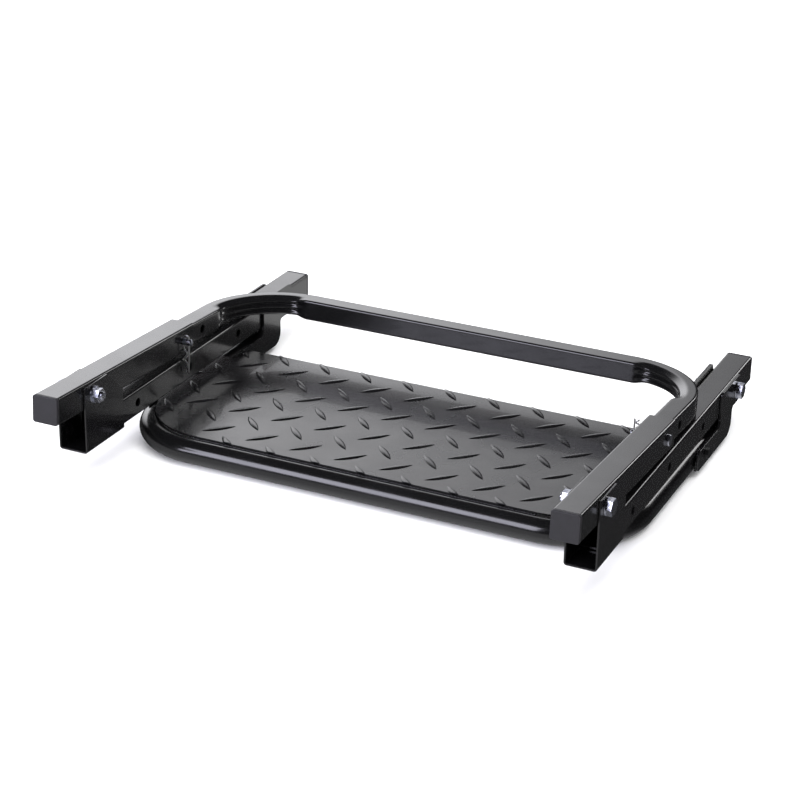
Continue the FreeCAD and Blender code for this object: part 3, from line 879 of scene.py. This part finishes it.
class STEP_OT_lock_pins(bpy.types.Operator):
    """Finishes the lock pins and bends their R-clips"""
    bl_idname = "step.lock_pins"
    bl_label = "Lock pins and clips"

    def execute(self, context):
        s = sizes()
        for name, sign in SIDES.items():
            add_worked("lock_pin_" + name, "lock_pin_turned_" + name, edge_mm=0.2, sharp=45)
            pin = middle("lock_pin_" + name)
            centre = Vector((middle("r_clip_" + name).x, pin.y, pin.z))
            if name == "left":
                legs = CLIP_AXIS * mm(s.clip_hang)
            else:
                legs = -CLIP_AXIS * (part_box("r_clip_right")[1].z - pin.z - mm(CLIP_SHORT))
            points = [centre - Vector((sign * mm(across), 0, 0)) + legs * share
                      for across, share in CLIP_SHAPE]
            add_piece("r_clip_bent_" + name, wire("clip", points, s.clip_wire), "spring_steel",
                      body_of_node("r_clip_" + name), ("r_clip_" + name,), sharp=60)
        return {"FINISHED"}


class STEP_OT_hidden_steel(bpy.types.Operator):
    """Finishes the pivot sleeves and the small screws"""
    bl_idname = "step.hidden_steel"
    bl_label = "Sleeves and small screws"

    def execute(self, context):
        for name in SIDES:
            add_worked("pivot_sleeve_" + name, "pivot_bush_" + name, edge_mm=0.3)
        add_worked("bracket_screws", "tube_screws", edge_mm=0.3)
        add_worked("bracket_screw_nuts", "tube_screw_nuts", edge_mm=0.3)
        return {"FINISHED"}


# ---- stage ----
def aim(thing, place, target, roll_degrees=0.0):
    """Puts a lamp or a camera at a place, looking at the target."""
    thing.location = place
    look = (Vector(target) - Vector(place)).to_track_quat("-Z", "Y")
    thing.rotation_mode = "QUATERNION"
    thing.rotation_quaternion = look @ Matrix.Rotation(math.radians(roll_degrees), 3, "Z").to_quaternion()


def soft_box(name, place, target, width, height, power, tint="#ffffff"):
    """A rectangular lamp; its places and sizes are metres and its power is watts."""
    lamp = bpy.data.lights.new(name, "AREA")
    lamp.shape, lamp.size, lamp.size_y, lamp.energy = "RECTANGLE", width, height, power
    lamp.color = colour(tint)[:3]
    thing = bpy.data.objects.new(name, lamp)
    bpy.context.scene.collection.objects.link(thing)
    aim(thing, place, target)
    return thing


# the room that the gloss sees: bands are heights of the way looked at, from -1 below to 1 above
WALL_HEADING = -42
WALL_ELEVATION = 20
WALL_EDGE = 0.865
WALL_GLOW = 2.8
CEILING_BAND = (0.57, 0.47)
FLOOR_BAND = (0.05, -0.15)
FLOOR_REAR_TO_FRONT = (0.3, -0.7)
FLOOR_GLOW = (0.05, 0.65)
UNDER_BAND = (-0.55, -0.85)
UNDER_GLOW = 0.4
ROOM_TINT = (0.97, 0.97, 1.0, 1.0)
PLAIN_WHITE = (1.0, 1.0, 1.0, 1.0)


def studio_world():
    """A white room for the eye, and for the gloss a bright rear left wall in a dark room with a dim floor."""
    world = bpy.data.worlds.new("studio")
    bpy.context.scene.world = world
    world.use_nodes = True
    tree = world.node_tree
    tree.nodes.clear()
    way = add_node(tree, "ShaderNodeTexCoord").outputs["Generated"]
    parts = add_node(tree, "ShaderNodeSeparateXYZ", links={"Vector": way})
    height = parts.outputs["Z"]

    def joined(operation, first, second):
        return add_node(tree, "ShaderNodeMath", {"operation": operation},
                        links={0: first, 1: second}).outputs["Value"]

    # the wall's glow fades away from its middle and towards the ceiling
    heading, elevation = math.radians(WALL_HEADING), math.radians(WALL_ELEVATION)
    level = math.cos(elevation)
    wall = (math.sin(heading) * level, math.cos(heading) * level, math.sin(elevation))
    nearness = add_node(tree, "ShaderNodeVectorMath", {"operation": "DOT_PRODUCT"}, {1: wall}, {0: way})
    glow = joined("MULTIPLY", spread(tree, nearness.outputs["Value"], WALL_EDGE, 1.0, 0.0, WALL_GLOW),
                  spread(tree, height, *CEILING_BAND, 0.0, 1.0))
    # the floor is lit towards the front, and a little straight below
    floor = joined("MULTIPLY", spread(tree, height, *FLOOR_BAND, 0.0, 1.0),
                   spread(tree, parts.outputs["Y"], *FLOOR_REAR_TO_FRONT, *FLOOR_GLOW))
    under = spread(tree, height, *UNDER_BAND, 0.0, UNDER_GLOW)
    total = joined("ADD", joined("ADD", glow, floor), under)
    room = add_node(tree, "ShaderNodeBackground", values={"Color": ROOM_TINT}, links={"Strength": total})
    plain = add_node(tree, "ShaderNodeBackground", values={"Color": PLAIN_WHITE, "Strength": 1.0})
    ray = add_node(tree, "ShaderNodeLightPath")
    both = add_node(tree, "ShaderNodeMixShader", links={0: ray.outputs["Is Glossy Ray"],
                                                        1: plain.outputs["Background"],
                                                        2: room.outputs["Background"]})
    add_node(tree, "ShaderNodeOutputWorld", links={"Surface": both.outputs["Shader"]})


FLOOR_HALF = 20.0


def studio_floor():
    """A wide pale floor that the object's gloss doesn't mirror."""
    bm = bmesh.new()
    bmesh.ops.create_grid(bm, x_segments=1, y_segments=1, size=FLOOR_HALF)
    mesh = bpy.data.meshes.new("floor")
    bm.to_mesh(mesh)
    bm.free()
    material, tree, place, shader = new_material("matt studio paper")
    shader.inputs["Base Color"].default_value = tuple(colours().floor)
    shader.inputs["Roughness"].default_value = 0.9
    shader.inputs["Specular IOR Level"].default_value = 0.1
    fibre = grain(tree, place, size_mm=3.0, detail=3.0)
    bump(tree, shader, fibre.outputs["Fac"], depth_mm=0.05, strength=0.2)
    mesh.materials.append(material)
    floor = bpy.data.objects.new("floor", mesh)
    bpy.context.scene.collection.objects.link(floor)
    floor.visible_glossy = False


CAMERA_PLACE = Vector((0.94166, -2.08333, 1.07854))
CAMERA_AZIMUTH = 24.64
CAMERA_ELEVATION = 23.89
CAMERA_ROLL = 1.17
SENSOR = 36.0
LENS = 97.72965
CLIP_NEAR, CLIP_FAR = 0.05, 60.0


def place_camera(camera):
    """Sets the camera by its place, its heading and height angle, and its small roll."""
    azimuth, elevation = math.radians(CAMERA_AZIMUTH), math.radians(CAMERA_ELEVATION)
    level = math.cos(elevation)
    back = Vector((math.sin(azimuth) * level, -math.cos(azimuth) * level, math.sin(elevation)))
    aim(camera, CAMERA_PLACE, CAMERA_PLACE - back, CAMERA_ROLL)


class STEP_OT_stage(bpy.types.Operator):
    """Sets the floor, the room, the lamps and the camera"""
    bl_idname = "step.stage"
    bl_label = "Stage"

    def execute(self, context):
        scene = context.scene
        studio_world()
        studio_floor()
        soft_box("front left box", place=(-0.99, -2.22, 1.2), target=(0, -0.14, 0), width=1.5, height=1.5,
                 power=52, tint="#f0efff")
        soft_box("rear right strip", place=(0.85, 2.1, 0.95), target=(0, 0, 0), width=0.5, height=0.9,
                 power=7)
        fill = soft_box("fill box", place=(0.3, 0.3, 3.2), target=(0, 0, 0), width=3.5, height=3.5, power=120)
        fill.visible_glossy = False
        card = soft_box("floor card", place=(-0.1, 0.37, 0.002), target=(-0.1, 0.37, 1.0), width=0.42,
                        height=0.2, power=0.24)
        card.visible_camera = card.visible_diffuse = False
        data = bpy.data.cameras.new("camera")
        data.sensor_width = SENSOR
        data.lens = LENS
        data.clip_start, data.clip_end = CLIP_NEAR, CLIP_FAR
        camera = bpy.data.objects.new("camera", data)
        scene.collection.objects.link(camera)
        place_camera(camera)
        scene.camera = camera
        scene.view_settings.view_transform = "Standard"
        scene.view_settings.look = "None"
        return {"FINISHED"}


# ---- the add-on itself ----
PIECES = (STEP_OT_square_tubes, STEP_OT_end_caps, STEP_OT_hook_bar, STEP_OT_hinge_sheets,
          STEP_OT_platform_tube, STEP_OT_tread_plate, STEP_OT_welds, STEP_OT_pivot_bolts, STEP_OT_lock_pins,
          STEP_OT_hidden_steel, STEP_OT_stage)


class STEP_PT_panel(bpy.types.Panel):
    """Lists the step's pieces"""
    bl_idname = "STEP_PT_panel"
    bl_label = "Tyre step"
    bl_space_type = "VIEW_3D"
    bl_region_type = "UI"
    bl_category = "Tyre Step"

    def draw(self, context):
        for piece in PIECES:
            self.layout.operator(piece.bl_idname)


CLASSES = (StepSizes, StepColours, *PIECES, STEP_PT_panel)


def register():
    for made in CLASSES:
        bpy.utils.register_class(made)
    bpy.types.Scene.step_sizes = bpy.props.PointerProperty(type=StepSizes)
    bpy.types.Scene.step_colours = bpy.props.PointerProperty(type=StepColours)


def unregister():
    del bpy.types.Scene.step_colours
    del bpy.types.Scene.step_sizes
    for made in reversed(CLASSES):
        bpy.utils.unregister_class(made)


def main():
    register()
    for piece in PIECES:
        group, name = piece.bl_idname.split(".")
        getattr(getattr(bpy.ops, group), name)()


if __name__ == "__main__":
    main()
